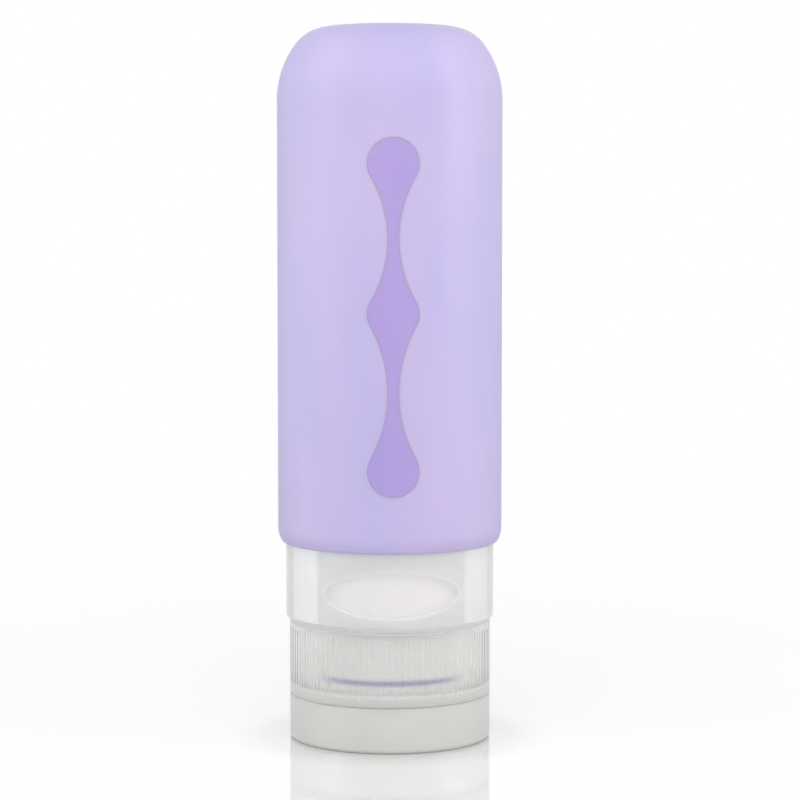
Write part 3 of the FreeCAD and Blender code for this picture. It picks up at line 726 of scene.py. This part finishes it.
class World:
    """The even light around the object, as nodes."""

    def __init__(self):
        world = bpy.data.worlds.new("studio")
        bpy.context.scene.world = world
        world.use_nodes = True
        self.tree = world.node_tree
        self.tree.nodes.clear()

    def node(self, kind):
        return self.tree.nodes.new(kind)

    def link(self, source, target):
        self.tree.links.new(source, target)

    def change(self, value, low, high):
        """A share that runs from none at the one level to all at the other."""
        span = self.node("ShaderNodeMapRange")
        span.inputs["From Min"].default_value = low
        span.inputs["From Max"].default_value = high
        self.link(value, span.inputs["Value"])
        return span.outputs["Result"]

    def mix(self, share, first, second):
        """A strength that runs from one to the other, each a number or another node's output."""
        span = self.node("ShaderNodeMapRange")
        for value, socket in ((first, "To Min"), (second, "To Max")):
            if isinstance(value, float):
                span.inputs[socket].default_value = value
            else:
                self.link(value, span.inputs[socket])
        self.link(share, span.inputs["Value"])
        return span.outputs["Result"]


def make_world():
    """Ambient light, stronger in front, and white for camera, glass and gloss, whose low back is dimmer."""
    world = World()
    direction = world.node("ShaderNodeSeparateXYZ")
    world.link(world.node("ShaderNodeTexCoord").outputs["Generated"], direction.inputs["Vector"])
    backward = world.change(direction.outputs["Y"], *AMBIENT_TURN)
    behind = world.change(direction.outputs["Y"], *GLOSS_TURN)
    low = world.change(direction.outputs["Z"], *GLOSS_LEVEL)

    rays = world.node("ShaderNodeLightPath")
    ambient = world.mix(backward, AMBIENT_FRONT, AMBIENT_BACK)
    dimmed = world.mix(behind, 1.0, GLOSS_BACK)
    gloss = world.mix(low, 1.0, dimmed)
    strength = world.mix(rays.outputs["Is Glossy Ray"], ambient, gloss)
    strength = world.mix(rays.outputs["Is Transmission Ray"], strength, 1.0)
    strength = world.mix(rays.outputs["Is Camera Ray"], strength, 1.0)
    background = world.node("ShaderNodeBackground")
    background.inputs["Color"].default_value = WHITE
    world.link(strength, background.inputs["Strength"])
    world.link(background.outputs["Background"], world.node("ShaderNodeOutputWorld").inputs["Surface"])


def softbox(name, place, aim, width, height, radiance):
    """A rectangular area light of an even radiance, turned to a point."""
    data = bpy.data.lights.new(name, "AREA")
    data.shape = "RECTANGLE"
    data.size = width
    data.size_y = height
    data.energy = radiance * math.pi * width * height
    lamp = bpy.data.objects.new(name, data)
    bpy.context.scene.collection.objects.link(lamp)
    lamp.location = place
    lamp.rotation_euler = (Vector(aim) - Vector(place)).to_track_quat("-Z", "Y").to_euler()
    lamp.visible_camera = False
    return lamp


def gloss_only(lamp, receivers):
    """Keep a lamp to the gloss of the receivers."""
    lamp.visible_diffuse = False
    lamp.visible_transmission = False
    lamp.light_linking.receiver_collection = receivers


def soft_light(name, receivers, colour, *form):
    """Light on everything from one lamp, and its gloss on the receivers from another in its place."""
    lamp = softbox(name, *form)
    lamp.visible_glossy = False
    lamp.data.color = colour
    gloss = softbox(f"{name}_gloss", *form)
    gloss.data.color = colour
    gloss_only(gloss, receivers)


# Lights in front and at the sides, left and right: places, aims, widths and heights
FRONT_COLOUR = (1.0, 1.0, 1.0)
FRONT_RADIANCE = 1.35
FRONT_PLACE = (-0.05, -0.6, 0.6)
FRONT_AIM = (0, 0, 0.07)
FRONT_SIZE = (0.7, 0.7)
SIDE_COLOUR = (1.0, 0.95, 0.88)
SIDE_RADIANCE = {-1: 0.8, 1: 1.5}
SIDE_PLACE = (0.5, -0.15, 0.1)
SIDE_AIM = (0, 0, 0.02)
SIDE_SIZE = (0.3, 0.24)
BROAD_RADIANCE = 4.0
BROAD_PLACE = (0.42, -0.16, 0.3)
BROAD_AIM = (0, 0, 0.08)
BROAD_SIZE = (0.2, 0.6)

# Tall strips beside the bottle, from its sides to behind it, each dimmer than the one before
STRIP_START = 83.0
STRIP_STEP = 15.0
STRIP_REACH = 0.15
STRIP_HEIGHT = 0.35
STRIP_RADIANCE = (2.2, 1.5, 0.9)
STRIP_RIGHT_SHARE = 0.75


def on_side(side, place):
    """A place on the left or right."""
    return (side * place[0], *place[1:])


def make_lights(floor):
    """A light above the camera, and on each side a weak warm one, with strips and a broad lamp for gloss."""
    off_floor = bpy.data.collections.new("off_floor")
    off_floor.objects.link(floor)
    off_floor.collection_objects[0].light_linking.link_state = "EXCLUDE"
    soft_light("front", off_floor, FRONT_COLOUR, FRONT_PLACE, FRONT_AIM, *FRONT_SIZE, FRONT_RADIANCE)
    for side, radiance in SIDE_RADIANCE.items():
        place = on_side(side, SIDE_PLACE)
        soft_light(f"side_{side}", off_floor, SIDE_COLOUR, place, SIDE_AIM, *SIDE_SIZE, radiance)
        share = STRIP_RIGHT_SHARE if side > 0 else 1.0
        for index, strip in enumerate(STRIP_RADIANCE):
            angle = math.radians(STRIP_START + STRIP_STEP * (index + 0.5))
            middle = STRIP_HEIGHT / 2
            place = (side * STRIP_REACH * math.sin(angle), -STRIP_REACH * math.cos(angle), middle)
            width = 2 * STRIP_REACH * math.tan(math.radians(STRIP_STEP / 2))
            aim = (0, 0, middle)
            lamp = softbox(f"strip_{index}_{side}", place, aim, width, STRIP_HEIGHT, strip * share)
            gloss_only(lamp, off_floor)
        place = on_side(side, BROAD_PLACE)
        broad = softbox(f"broad_{side}", place, BROAD_AIM, *BROAD_SIZE, BROAD_RADIANCE)
        gloss_only(broad, off_floor)


# Camera: distance, height and turn about the bottle, in metres and degrees, and its lens in millimetres
CAMERA_DISTANCE = 0.5
CAMERA_HEIGHT = 0.1017
CAMERA_TURN = -1.75
CAMERA_PITCH = 4.03
CAMERA_LENS = 114.7
CAMERA_SENSOR = 36.0
CAMERA_CLIP = 0.01
CAMERA_ASIDE = 0.23


def make_camera():
    """Camera at the photograph's angle, almost level, with the bottle a little left of the middle."""
    data = bpy.data.cameras.new("camera")
    data.sensor_width = CAMERA_SENSOR
    data.lens = CAMERA_LENS
    data.clip_start = CAMERA_CLIP
    camera = bpy.data.objects.new("camera", data)
    bpy.context.scene.collection.objects.link(camera)
    turn = math.radians(CAMERA_TURN)
    camera.location = (CAMERA_DISTANCE * math.sin(turn), -CAMERA_DISTANCE * math.cos(turn), CAMERA_HEIGHT)
    pitch = math.radians(90 - CAMERA_PITCH)
    camera.rotation_euler = (pitch, 0, turn - math.radians(CAMERA_ASIDE))
    bpy.context.scene.camera = camera


drops = drop_outline()
make_finishes({
    "body": make_body(drops),
    "inlay": make_inlay(drops),
    "gasket": make_gasket(),
    "valve": make_valve(),
})
floor = make_floor()
give_way(floor)
make_world()
make_lights(floor)
make_camera()
bpy.context.scene.view_settings.view_transform = "Standard"
